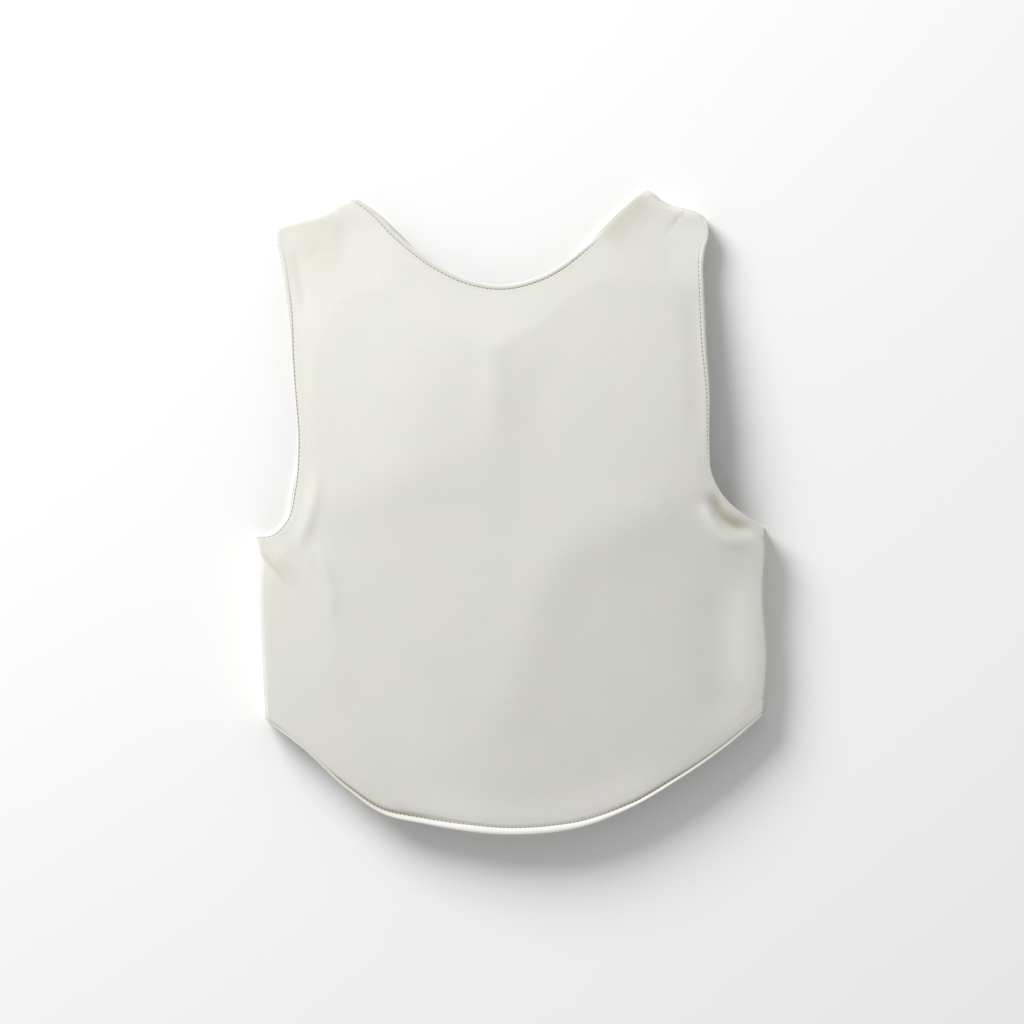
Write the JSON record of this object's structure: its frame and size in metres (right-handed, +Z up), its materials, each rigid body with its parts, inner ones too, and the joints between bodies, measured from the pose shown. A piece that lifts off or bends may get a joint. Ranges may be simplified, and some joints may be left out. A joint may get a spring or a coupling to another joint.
{
  "type": "stab vest",
  "caption": "Slip-on concealable stab vest of white stretch cloth lying on its back, open at neck, armholes and bottom, with soft armour panels in its front and back.",
  "frame": {"origin": "middle of the vest's box, on the surface that it lies on", "axes": "+X to the right of someone who looks down on the front, +Y towards the neck, +Z up out of the front"},
  "size_m": [0.4624, 0.5822, 0.0538],
  "materials": {
    "cloth": "off-white fine-knit stretch cloth, matt",
    "band": "turned edge of the same cloth, topstitched",
    "panel_cover": "plain woven cover of the soft armour, matt"
  },
  "bodies": {
    "root": {"front_shell": "cloth", "back_shell": "cloth", "front_panel": "panel_cover", "back_panel": "panel_cover", "neck_band_front": "band", "neck_band_back": "band", "armhole_band_front_left": "band", "armhole_band_front_right": "band", "armhole_band_back_left": "band", "armhole_band_back_right": "band", "bottom_band_front": "band", "bottom_band_back": "band"}
  },
  "joints": []
}
